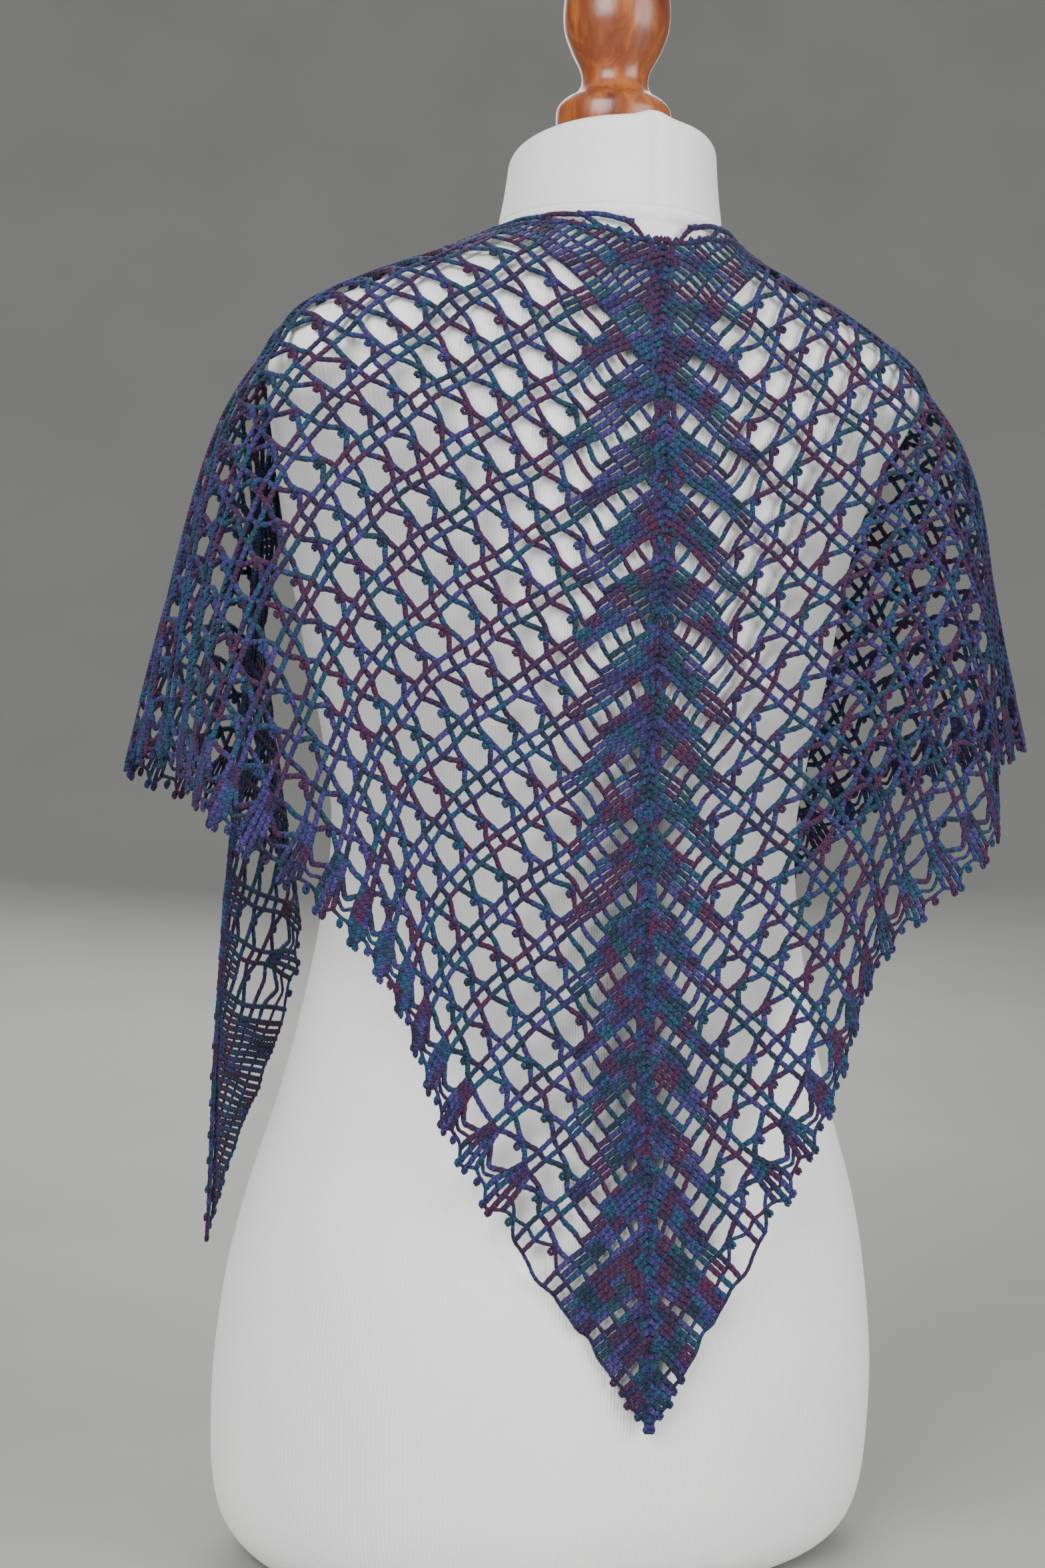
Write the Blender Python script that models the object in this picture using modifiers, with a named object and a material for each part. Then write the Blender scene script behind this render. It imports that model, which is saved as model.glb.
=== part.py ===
"""A crocheted lace triangle shawl resting on a limbless dress form.

Metres, +Z up, the form's front faces -Y and its left side is +X. The origin is the
centre of the form's flat underside. The shawl is worked from the nape outward: its
flat plan is two mirrored wings, each a triangle with one corner at the nape, and every
section of cloth is that plan wrapped over the shoulder ridge and let fall in flutes.
"""
import math
from collections import namedtuple

import bmesh
import bpy
import numpy as np
from mathutils import Vector
from mathutils.bvhtree import BVHTree

# Flat plan of one wing
GROWTH = 0.344  # from the nape square to the hem
SPINE_ANGLE = math.radians(54)  # from the spine to the growth direction
EDGE_ANGLE = math.radians(57)  # from the growth direction to the top edge

# Wall, seams and clearance
CLOTH_WALL = 0.0018
SEAM_GAP = 0.0003
CLEARANCE = 0.0045  # between the form and the middle of the cloth wall

# Stretches of the wings, as flat angles from the spine, and of the growth, as shares
BACK_END = math.radians(52)
SIDE_END = math.radians(84)
NECK_SHARE = 0.115
EDGING_SHARE = 0.945
START_SHARE = 0.03
COLUMNS = {"back": 15, "side": 14, "front": 9}
ROWS = 17

# Shoulder ridge that carries the cloth
RIDGE_TOP = 0.700
RIDGE_Y = 0.045
RIDGE_SLOPE = math.radians(23)
RIDGE_END_X = 0.160
RIDGE_ROUND = 0.045
NAPE_DROP = 0.047  # flat distance from the ridge down to the nape

# How the cloth falls
BACK_STAND = 0.012
BACK_LEAN = 0.030
CHEST_STAND = 0.060
SIDE_STRETCH = {"left": 0.23, "right": 0.15}
FLAT_STEP = 0.012  # spacing of the flat net that carries the drape
FLAT_REACH = (0.660, -0.264, 0.624)  # to either side, above the nape and below it
SMOOTH_PASSES = 5
CLEAR_PASSES = 6

# Flutes about each shoulder end: flat angle off the ridge line, the azimuth where the
# cloth leaves the shoulder (0 back, 90 out, 180 front), and the slope of its fall
# outward and backward
Flute = namedtuple("Flute", "turn azimuth out back")
FLUTES = {
    "left": tuple(map(Flute._make, (
        (90, 0, -0.39, 0.00),
        (70, 8, -0.06, 0.03),
        (57, 25, 0.03, 0.02),
        (43, 45, 0.20, 0.22),
        (24, 75, 0.07, 0.03),
        (-3, 102, 0.20, -0.02),
        (-20, 128, 0.06, -0.06),
        (-31, 158, -0.14, -0.35),
        (-43, 163, -0.25, -0.22),
        (-50, 166, 0.02, 0.00),
        (-56, 168, 0.06, 0.00),
        (-70, 176, 0.00, -0.02),
        (-90, 180, -0.39, 0.00),
    ))),
    "right": tuple(map(Flute._make, (
        (90, 0, -0.39, 0.00),
        (72, 8, -0.10, 0.08),
        (64, 14, -0.06, 0.02),
        (50, 42, 0.12, 0.06),
        (34, 64, 0.05, 0.00),
        (10, 92, 0.28, 0.02),
        (-10, 114, 0.12, -0.05),
        (-30, 140, 0.02, -0.22),
        (-48, 164, -0.12, -0.26),
        (-60, 172, -0.10, -0.10),
        (-72, 176, -0.06, -0.04),
        (-90, 180, -0.39, 0.00),
    ))),
}

# How far the lower back is gathered in toward the spine, by flat distance from it
Gather = namedtuple("Gather", "across left right")
GATHERS = tuple(map(Gather._make, (
    (0.00, 0.000, 0.000),
    (0.04, 0.003, 0.014),
    (0.10, 0.010, 0.034),
    (0.16, 0.026, 0.036),
    (0.22, 0.040, 0.030),
    (0.32, 0.000, 0.000),
)))
GATHER_START, GATHER_FULL = 0.520, 0.260

# Soft upright folds of the back: where, how wide, how far out, where they start
FOLD_FADE = 0.22
Fold = namedtuple("Fold", "x half_width height top_z")
BACK_FOLDS = tuple(map(Fold._make, (
    (0.000, 0.020, 0.008, 0.440),
    (-0.034, 0.018, -0.006, 0.400),
    (-0.090, 0.030, 0.010, 0.480),
    (-0.128, 0.020, -0.010, 0.470),
    (0.052, 0.030, 0.009, 0.430),
    (0.092, 0.022, -0.008, 0.450),
    (0.128, 0.024, 0.014, 0.480),
)))

# Torso rings
Ring = namedtuple("Ring", "z half_width half_depth centre_y squareness")
TORSO = tuple(map(Ring._make, (
    (0.0000, 0.140, 0.092, 0.000, 2.2),
    (0.0035, 0.155, 0.106, 0.000, 2.2),
    (0.0140, 0.167, 0.117, 0.000, 2.2),
    (0.0300, 0.174, 0.123, 0.000, 2.2),
    (0.0550, 0.177, 0.127, 0.000, 2.2),
    (0.1000, 0.177, 0.128, 0.001, 2.2),
    (0.1500, 0.172, 0.127, 0.002, 2.1),
    (0.1900, 0.163, 0.121, 0.003, 2.1),
    (0.2350, 0.149, 0.111, 0.003, 2.1),
    (0.2800, 0.138, 0.102, 0.003, 2.1),
    (0.3300, 0.129, 0.096, 0.003, 2.1),
    (0.3750, 0.125, 0.094, 0.003, 2.1),
    (0.4200, 0.131, 0.099, 0.003, 2.1),
    (0.4650, 0.141, 0.107, 0.001, 2.1),
    (0.5050, 0.149, 0.112, -0.002, 2.1),
    (0.5400, 0.156, 0.109, 0.000, 2.2),
    (0.5700, 0.165, 0.096, 0.012, 2.3),
    (0.5920, 0.174, 0.077, 0.027, 2.3),
    (0.6080, 0.177, 0.061, 0.039, 2.2),
    (0.6220, 0.170, 0.052, 0.046, 2.1),
    (0.6350, 0.150, 0.049, 0.047, 2.0),
    (0.6480, 0.122, 0.050, 0.045, 2.0),
    (0.6600, 0.094, 0.053, 0.041, 2.0),
    (0.6710, 0.070, 0.0565, 0.037, 2.0),
    (0.6790, 0.0585, 0.0592, 0.034, 2.0),
)))
TORSO_SIDES = 40

# Neck cap: its top slopes down to the front
NECK_Y = 0.034
NeckRing = namedtuple("NeckRing", "z half_width half_depth tilt")
NECK_CAP = tuple(map(NeckRing._make, (
    (0.6793, 0.0575, 0.0590, 0.00),
    (0.6860, 0.0570, 0.0585, 0.02),
    (0.7000, 0.0545, 0.0562, 0.08),
    (0.7180, 0.0527, 0.0545, 0.18),
    (0.7225, 0.0505, 0.0525, 0.18),
    (0.7245, 0.0460, 0.0480, 0.18),
)))

# Turned knob, as rings from its top down to its foot
KNOB_FOOT = 0.7330
Turning = namedtuple("Turning", "height radius")
KNOB = tuple(map(Turning._make, (
    (0.0980, 0.0000),
    (0.0975, 0.0060),
    (0.0950, 0.0130),
    (0.0900, 0.0185),
    (0.0820, 0.0235),
    (0.0730, 0.0262),
    (0.0620, 0.0273),
    (0.0520, 0.0264),
    (0.0420, 0.0226),
    (0.0340, 0.0184),
    (0.0290, 0.0170),
    (0.0245, 0.0174),
    (0.0205, 0.0200),
    (0.0170, 0.0255),
    (0.0130, 0.0288),
    (0.0080, 0.0295),
    (0.0030, 0.0290),
    (0.0000, 0.0278),
)))
KNOB_PIN_RADIUS = 0.012

PI = math.pi


def clear_scene():
    for item in list(bpy.data.objects):
        bpy.data.objects.remove(item, do_unlink=True)


def material(name, colour, roughness, metallic=0.0):
    made = bpy.data.materials.new(name)
    made.use_nodes = True
    shader = made.node_tree.nodes["Principled BSDF"]
    shader.inputs["Base Color"].default_value = (*colour, 1.0)
    shader.inputs["Roughness"].default_value = roughness
    shader.inputs["Metallic"].default_value = metallic
    return made


def add_object(name, bm, collection, finish):
    """One named object from a bmesh, its faces shaded smooth up to 40 degrees."""
    mesh = bpy.data.meshes.new(name)
    bm.to_mesh(mesh)
    bm.free()
    mesh.materials.append(finish)
    mesh.shade_smooth()
    mesh.set_sharp_from_angle(angle=math.radians(40))
    made = bpy.data.objects.new(name, mesh)
    collection.objects.link(made)
    return made


def ring_points(half_width, half_depth, centre_y, z, squareness=2.0, tilt=0.0):
    """A level ring, or one tilted up to the back, as a superellipse."""
    points = []
    for step in range(TORSO_SIDES):
        turn = 2 * PI * step / TORSO_SIDES
        side, back = math.sin(turn), math.cos(turn)
        power = 2.0 / squareness
        x = half_width * math.copysign(abs(side) ** power, side)
        y = half_depth * math.copysign(abs(back) ** power, back)
        points.append(Vector((x, centre_y + y, z + tilt * y)))
    return points


def loft_mesh(rings, closed):
    """Faces through rings from the bottom up, with flat ends where it is closed."""
    bm = bmesh.new()
    loops = [[bm.verts.new(point) for point in ring] for ring in rings]
    count = len(rings[0])
    for low, high in zip(loops, loops[1:]):
        for i in range(count):
            j = (i + 1) % count
            bm.faces.new((low[j], low[i], high[i], high[j]))
    if closed:
        bm.faces.new(loops[0])
        bm.faces.new(list(reversed(loops[-1])))
        bmesh.ops.recalc_face_normals(bm, faces=bm.faces)
    bm.normal_update()
    return bm


def torso_rings():
    return [ring_points(row.half_width, row.half_depth, row.centre_y, row.z, row.squareness)
            for row in TORSO]


def neck_rings():
    return [ring_points(row.half_width, row.half_depth, NECK_Y, row.z, tilt=row.tilt)
            for row in NECK_CAP]


def knob(collection, finish):
    """The turned wood knob, with a plain peg down to the neck cap."""
    peg_foot = neck_top_at(-KNOB_PIN_RADIUS) + SEAM_GAP
    profile = [(row.radius, KNOB_FOOT + row.height) for row in KNOB]
    profile += [(KNOB_PIN_RADIUS, KNOB_FOOT), (KNOB_PIN_RADIUS, peg_foot), (0.0, peg_foot)]
    mesh = bpy.data.meshes.new("knob")
    corners = [(radius, 0.0, z) for radius, z in profile]
    mesh.from_pydata(corners, [(i, i + 1) for i in range(len(corners) - 1)], [])
    mesh.materials.append(finish)
    made = bpy.data.objects.new("knob", mesh)
    made.location = (0.0, NECK_Y, 0.0)
    collection.objects.link(made)
    turned = made.modifiers.new("turned", "SCREW")
    turned.steps = turned.render_steps = 40
    turned.merge_threshold = 0.0001
    turned.use_merge_vertices = True
    return made


def neck_top_at(y_off_centre):
    """Height of the neck cap's sloping top."""
    return NECK_CAP[-1].z + NECK_CAP[-1].tilt * abs(y_off_centre)


def column(rows, name):
    return np.array([getattr(row, name) for row in rows])


def flute_at(side, turn, name):
    """A column of the flute table at some turn, easing from row to row."""
    places = column(FLUTES[side], "turn")[::-1]
    values = column(FLUTES[side], name)[::-1]
    turn = np.clip(turn, places[0], places[-1])
    index = np.clip(np.searchsorted(places, turn) - 1, 0, len(places) - 2)
    share = (turn - places[index]) / (places[index + 1] - places[index])
    eased = share * share * (3 - 2 * share)
    return values[index] + (values[index + 1] - values[index]) * eased


def ease(low, high, at):
    share = np.clip((at - low) / (high - low), 0.0, 1.0)
    return share * share * (3 - 2 * share)


def fallen(across, down, side):
    """Where a point of the flat wing lies: across from the spine and down from the nape.

    Over the ridge the cloth wraps a rounded shoulder. Past the ridge's end it turns
    about that end, and each straight line from there falls as the flute table says.
    """
    cos_slope, sin_slope = math.cos(RIDGE_SLOPE), math.sin(RIDGE_SLOPE)
    along = across * cos_slope + (down + NAPE_DROP) * sin_slope
    off = (down + NAPE_DROP) * cos_slope - across * sin_slope
    ridge_length = RIDGE_END_X / cos_slope
    past = np.maximum(along - ridge_length, 0.0)
    reach = np.hypot(past, off)
    turn = np.degrees(np.arctan2(off, past))
    azimuth = np.radians(flute_at(side, turn, "azimuth"))
    out = flute_at(side, turn, "out")
    back = flute_at(side, turn, "back")
    middle = ease(-45.0, 5.0, turn) * (1 - ease(35.0, 80.0, turn))
    reach = reach * (1 + SIDE_STRETCH[side] * middle * ease(0.0, 0.05, past))
    drop = np.sqrt(np.maximum(1 - out ** 2 - back ** 2, 0.05))
    fall = np.stack([out, back, -drop], -1)
    away = np.stack([np.sin(azimuth), np.cos(azimuth), np.zeros_like(azimuth)], -1)
    round_turn = np.minimum(reach / RIDGE_ROUND, PI / 2)
    beyond = np.maximum(reach - RIDGE_ROUND * PI / 2, 0.0)
    held = np.minimum(along, ridge_length)
    start = np.stack([held * cos_slope, np.full_like(held, RIDGE_Y),
                      RIDGE_TOP - held * sin_slope], -1)
    rounding = (RIDGE_ROUND * (1 - np.cos(round_turn)) + beyond)[..., None] * fall
    point = start + (RIDGE_ROUND * np.sin(round_turn))[..., None] * away + rounding
    # the wrap leaves the two wings apart at the spine, so they are drawn in to meet
    drawn_in = (1 - ease(0.0, 0.13, across))
    point[..., 0] -= drawn_in * (point[..., 0] - across)
    is_back = ease(20.0, 60.0, turn)
    pull = np.interp(across, column(GATHERS, "across"), column(GATHERS, side))
    point[..., 0] -= is_back * pull * ease(GATHER_START, GATHER_FULL, point[..., 2])
    stand = BACK_STAND * ease(0.66, 0.58, point[..., 2])
    stand += BACK_LEAN * np.maximum(0.60 - point[..., 2], 0.0)
    point[..., 1] += is_back * stand
    is_front = 1 - ease(-60.0, -15.0, turn)
    over_chest = ease(0.66, 0.56, point[..., 2]) * ease(0.20, 0.12, point[..., 0])
    point[..., 1] -= is_front * CHEST_STAND * over_chest
    return point


def fold_height(x, z):
    """How far the soft upright folds stand out of the back, fading upward."""
    total = np.zeros_like(x)
    for fold in BACK_FOLDS:
        across = np.exp(-((x - fold.x) / fold.half_width) ** 2)
        total += fold.height * across * ease(fold.top_z, fold.top_z - FOLD_FADE, z)
    return total


def wing_angles():
    """The flat angles, from the spine, of one wing's columns, with its stretch ends."""
    back = np.linspace(0.0, BACK_END, COLUMNS["back"] + 1)
    side = np.linspace(BACK_END, SIDE_END, COLUMNS["side"] + 1)
    front = np.linspace(SIDE_END, SPINE_ANGLE + EDGE_ANGLE, COLUMNS["front"] + 1)
    return np.concatenate([back, side[1:], front[1:]])


def growth_shares():
    """The shares of the growth at which the cloth has a row of corners."""
    neck = np.linspace(START_SHARE, NECK_SHARE, 4)
    body = np.linspace(NECK_SHARE, EDGING_SHARE, ROWS)
    edging = np.linspace(EDGING_SHARE, 1.0, 3)
    return np.concatenate([neck, body[1:], edging[1:]])


def smoothed(grid, passes):
    """Each pass moves a corner halfway to the mean of its neighbours."""
    for _ in range(passes):
        inner = grid.copy()
        inner[1:-1] += 0.25 * (grid[:-2] - 2 * grid[1:-1] + grid[2:])
        inner[:, 1:-1] += 0.25 * (grid[:, :-2] - 2 * grid[:, 1:-1] + grid[:, 2:])
        grid = inner
    return grid


def push_clear(grid, surface, clearance):
    """Corners nearer to the form than the clearance are moved out to it."""
    for index in np.ndindex(grid.shape[:2]):
        place = Vector(grid[index])
        nearest, normal, _, _ = surface.find_nearest(place)
        height = (place - nearest).dot(normal)
        if height < clearance:
            grid[index] = place + normal * (clearance - height)
    return grid


def push_cells_clear(grid, surface, clearance):
    """The same for the middles of the grid's cells, which carry their corners along."""
    for i, j in np.ndindex(grid.shape[0] - 1, grid.shape[1] - 1):
        middle = Vector(grid[i:i + 2, j:j + 2].reshape(4, 3).mean(axis=0))
        nearest, normal, _, _ = surface.find_nearest(middle)
        height = (middle - nearest).dot(normal)
        if height < clearance:
            grid[i:i + 2, j:j + 2] += normal * (clearance - height)
    return grid


def draped_net(surface):
    """The flat plan on an even net, draped: its crosswise and downward places, and for
    each pair of them the place in the worn shawl."""
    reach, above, below = FLAT_REACH
    across = np.arange(-round(reach / FLAT_STEP), round(reach / FLAT_STEP) + 1) * FLAT_STEP
    down = np.arange(round(above / FLAT_STEP), round(below / FLAT_STEP) + 1) * FLAT_STEP
    flat_across, flat_down = np.meshgrid(across, down, indexing="ij")
    left = fallen(flat_across, flat_down, "left")
    right = fallen(-flat_across, flat_down, "right")
    right[..., 0] *= -1
    net = np.where((flat_across > 0)[..., None], left, right)
    on_back = ease(0.02, 0.08, net[..., 1])
    net[..., 1] += on_back * fold_height(net[..., 0], net[..., 2])
    net = smoothed(net, SMOOTH_PASSES)
    for _ in range(CLEAR_PASSES):
        net = smoothed(push_clear(net, surface, CLEARANCE), 1)
    return across, down, push_clear(net, surface, CLEARANCE)


def on_net(net, across, down):
    """Places in the worn shawl of flat points, read smoothly from the draped net."""
    across_places, down_places, points = net
    cells = []
    for at, places in ((across, across_places), (down, down_places)):
        steps = (at - places[0]) / FLAT_STEP
        first = np.clip(np.floor(steps).astype(int), 1, len(places) - 3)
        share = steps - first
        weights = (
            0.5 * (-share + 2 * share ** 2 - share ** 3),
            0.5 * (2 - 5 * share ** 2 + 3 * share ** 3),
            0.5 * (share + 4 * share ** 2 - 3 * share ** 3),
            0.5 * (share ** 3 - share ** 2),
        )
        cells.append((first, weights))
    total = 0.0
    for i in range(4):
        for j in range(4):
            weight = cells[0][1][i] * cells[1][1][j]
            corner = points[cells[0][0] - 1 + i, cells[1][0] - 1 + j]
            total = total + weight[..., None] * corner
    return total


def draped_grid(surface):
    """The whole shawl's middle surface: columns right to left, rows nape to hem."""
    net = draped_net(surface)
    angles, shares = wing_angles(), growth_shares()
    angle, share = np.meshgrid(angles, shares, indexing="ij")
    radius = share * GROWTH / np.cos(angle - SPINE_ANGLE)
    across, down = radius * np.sin(angle), radius * np.cos(angle)
    across = np.concatenate([-across[::-1], across[1:]])
    down = np.concatenate([down[::-1], down[1:]])
    grid = on_net(net, across, down)
    for _ in range(CLEAR_PASSES):
        grid = push_cells_clear(push_clear(grid, surface, CLEARANCE), surface, CLEARANCE)
    return grid


def shifted(grid, first, last, axis):
    """A stretch of the grid, its two ends along one axis drawn in by half a seam gap."""
    part = np.take(grid, range(first, last + 1), axis=axis).copy()
    part = np.moveaxis(part, axis, 0)
    for end, inner in ((0, 1), (-1, -2)):
        along = part[inner] - part[end]
        part[end] += along / np.linalg.norm(along, axis=-1, keepdims=True) * SEAM_GAP / 2
    return np.moveaxis(part, 0, axis)


def facings(grid):
    """The cloth's outward directions, one for each corner of the grid."""
    across = np.gradient(grid, axis=0)
    growing = np.gradient(grid, axis=1)
    normals = np.cross(growing, across)
    normals /= np.linalg.norm(normals, axis=-1, keepdims=True)
    return normals


def rim(bm, outer_a, inner_a, outer_b, inner_b):
    """A step of a wall's edge, cut along the same diagonal on both sides of a seam."""
    bm.faces.new((outer_a, inner_a, inner_b))
    bm.faces.new((outer_a, inner_b, outer_b))


def cloth_piece(name, grid, columns, rows, collection, finish):
    """One stretch of the cloth as a wall. Neighbours share the grid's directions, so
    their edges face each other squarely across the seam."""
    middle = shifted(shifted(grid, *columns, axis=0), *rows, axis=1)
    outward = facings(grid)[columns[0]:columns[1] + 1, rows[0]:rows[1] + 1]
    bm = bmesh.new()
    layers = []
    for side in (1, -1):
        layer = middle + outward * (side * CLOTH_WALL / 2)
        layers.append([[bm.verts.new(point) for point in line] for line in layer])
    for outer, inner in zip(*layers):
        outer.extend(reversed(inner))
    loops = layers[0]
    count = len(loops[0])
    for near, far in zip(loops, loops[1:]):
        for i in range(count - 1):
            if i != count // 2 - 1:
                bm.faces.new((near[i], near[i + 1], far[i + 1], far[i]))
        for outer, inner in ((0, -1), (count // 2 - 1, count // 2)):
            rim(bm, near[outer], near[inner], far[outer], far[inner])
    for loop in (loops[0], loops[-1]):
        for i in range(count // 2 - 1):
            rim(bm, loop[i], loop[-1 - i], loop[i + 1], loop[-2 - i])
    bmesh.ops.recalc_face_normals(bm, faces=bm.faces)
    return add_object(name, bm, collection, finish)


def shawl(collection, surface, finish):
    grid = draped_grid(surface)
    middle = sum(COLUMNS.values())
    neck_row, edging_row, hem_row = 3, 3 + ROWS - 1, 3 + ROWS + 1
    ends = np.cumsum([0, COLUMNS["back"], COLUMNS["side"], COLUMNS["front"]])
    last = 2 * middle
    cloth_piece("neck_start", grid, (0, last), (0, neck_row), collection, finish)
    names = ("back_wing", "side_flute", "front_tail")
    for name, start, stop in zip(names, ends, ends[1:]):
        for side, columns in (("left", (middle + start, middle + stop)),
                              ("right", (middle - stop, middle - start))):
            cloth_piece(f"{name}_{side}", grid, columns, (neck_row, edging_row),
                        collection, finish)
            cloth_piece(f"hem_edging_{name.split('_')[0]}_{side}", grid, columns,
                        (edging_row, hem_row), collection, finish)


def main():
    clear_scene()
    parts = bpy.data.collections.new("lace_shawl_on_dress_form")
    bpy.context.scene.collection.children.link(parts)
    jersey = material("form_jersey", (0.86, 0.86, 0.84), 0.85)
    wood = material("turned_wood", (0.46, 0.17, 0.05), 0.35)
    yarn = material("hand_dyed_yarn", (0.06, 0.07, 0.22), 0.80)
    add_object("torso", loft_mesh(torso_rings(), closed=True), parts, jersey)
    add_object("neck_cap", loft_mesh(neck_rings(), closed=True), parts, jersey)
    knob(parts, wood)
    skin = loft_mesh(torso_rings() + neck_rings(), closed=False)
    surface = BVHTree.FromBMesh(skin)
    skin.free()
    shawl(parts, surface, yarn)


main()
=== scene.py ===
"""Looks of the crocheted lace shawl on its dress form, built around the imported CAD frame.

The drape is the CAD's own: the flat plan of two mirrored wings is wrapped over the shoulder
ridge, falls in flutes and is held clear of the form. Here the yarn is laid out on the flat
plan, stitch by stitch, and every strand is carried through that drape.
"""

import math
from collections import namedtuple

import bmesh
import bpy
import numpy as np
from mathutils import Matrix, Vector
from mathutils.bvhtree import BVHTree


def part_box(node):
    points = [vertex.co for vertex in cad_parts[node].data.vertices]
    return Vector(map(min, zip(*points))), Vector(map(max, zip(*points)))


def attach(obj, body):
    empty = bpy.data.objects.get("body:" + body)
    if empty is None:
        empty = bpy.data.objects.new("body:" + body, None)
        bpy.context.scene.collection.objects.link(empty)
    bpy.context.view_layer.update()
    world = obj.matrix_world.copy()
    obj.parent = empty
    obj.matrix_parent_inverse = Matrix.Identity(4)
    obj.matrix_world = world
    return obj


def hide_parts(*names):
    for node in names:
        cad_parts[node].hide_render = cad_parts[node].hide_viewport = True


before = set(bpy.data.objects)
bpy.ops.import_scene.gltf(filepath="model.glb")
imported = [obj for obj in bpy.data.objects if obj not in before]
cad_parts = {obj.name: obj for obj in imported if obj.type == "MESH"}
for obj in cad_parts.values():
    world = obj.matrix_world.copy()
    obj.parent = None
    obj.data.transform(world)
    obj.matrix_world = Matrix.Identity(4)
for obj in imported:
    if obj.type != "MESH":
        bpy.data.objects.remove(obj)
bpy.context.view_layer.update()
PI = math.pi

# --------------------------------------------------------------------------------------
# Sizes shared with the CAD: the flat plan and the drape
# --------------------------------------------------------------------------------------
GROWTH = 0.344
SPINE_ANGLE = math.radians(54)
EDGE_ANGLE = math.radians(57)
CLEARANCE = 0.0045
BACK_END = math.radians(52)
SIDE_END = math.radians(84)
NECK_SHARE = 0.115
EDGING_SHARE = 0.945

RIDGE_TOP = 0.700
RIDGE_Y = 0.045
RIDGE_SLOPE = math.radians(23)
RIDGE_END_X = 0.160
RIDGE_ROUND = 0.045
NAPE_DROP = 0.047
BACK_STAND = 0.012
BACK_LEAN = 0.030
CHEST_STAND = 0.060
SIDE_STRETCH = {"left": 0.23, "right": 0.15}
FLAT_STEP = 0.012
FLAT_REACH = (0.660, -0.264, 0.624)
SMOOTH_PASSES = 5
CLEAR_PASSES = 6

Flute = namedtuple("Flute", "turn azimuth out back")
FLUTES = {
    "left": tuple(map(Flute._make, (
        (90, 0, -0.39, 0.00),
        (70, 8, -0.06, 0.03),
        (57, 25, 0.03, 0.02),
        (43, 45, 0.20, 0.22),
        (24, 75, 0.07, 0.03),
        (-3, 102, 0.20, -0.02),
        (-20, 128, 0.06, -0.06),
        (-31, 158, -0.14, -0.35),
        (-43, 163, -0.25, -0.22),
        (-50, 166, 0.02, 0.00),
        (-56, 168, 0.06, 0.00),
        (-70, 176, 0.00, -0.02),
        (-90, 180, -0.39, 0.00),
    ))),
    "right": tuple(map(Flute._make, (
        (90, 0, -0.39, 0.00),
        (72, 8, -0.10, 0.08),
        (64, 14, -0.06, 0.02),
        (50, 42, 0.12, 0.06),
        (34, 64, 0.05, 0.00),
        (10, 92, 0.28, 0.02),
        (-10, 114, 0.12, -0.05),
        (-30, 140, 0.02, -0.22),
        (-48, 164, -0.12, -0.26),
        (-60, 172, -0.10, -0.10),
        (-72, 176, -0.06, -0.04),
        (-90, 180, -0.39, 0.00),
    ))),
}

Gather = namedtuple("Gather", "across left right")
GATHERS = tuple(map(Gather._make, (
    (0.00, 0.000, 0.000),
    (0.04, 0.003, 0.014),
    (0.10, 0.010, 0.034),
    (0.16, 0.026, 0.036),
    (0.22, 0.040, 0.030),
    (0.32, 0.000, 0.000),
)))
GATHER_START, GATHER_FULL = 0.520, 0.260

Fold = namedtuple("Fold", "x half_width height top_z")
FOLD_FADE = 0.22
BACK_FOLDS = tuple(map(Fold._make, (
    (0.000, 0.020, 0.008, 0.440),
    (-0.034, 0.018, -0.006, 0.400),
    (-0.090, 0.030, 0.010, 0.480),
    (-0.128, 0.020, -0.010, 0.470),
    (0.052, 0.030, 0.009, 0.430),
    (0.092, 0.022, -0.008, 0.450),
    (0.128, 0.024, 0.014, 0.480),
)))


def column(rows, name):
    return np.array([getattr(row, name) for row in rows])


def flute_at(side, turn, name):
    """A column of the flute table at some turn, easing from row to row."""
    places = column(FLUTES[side], "turn")[::-1]
    values = column(FLUTES[side], name)[::-1]
    turn = np.clip(turn, places[0], places[-1])
    index = np.clip(np.searchsorted(places, turn) - 1, 0, len(places) - 2)
    share = (turn - places[index]) / (places[index + 1] - places[index])
    eased = share * share * (3 - 2 * share)
    return values[index] + (values[index + 1] - values[index]) * eased


def ease(low, high, at):
    share = np.clip((at - low) / (high - low), 0.0, 1.0)
    return share * share * (3 - 2 * share)


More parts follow.
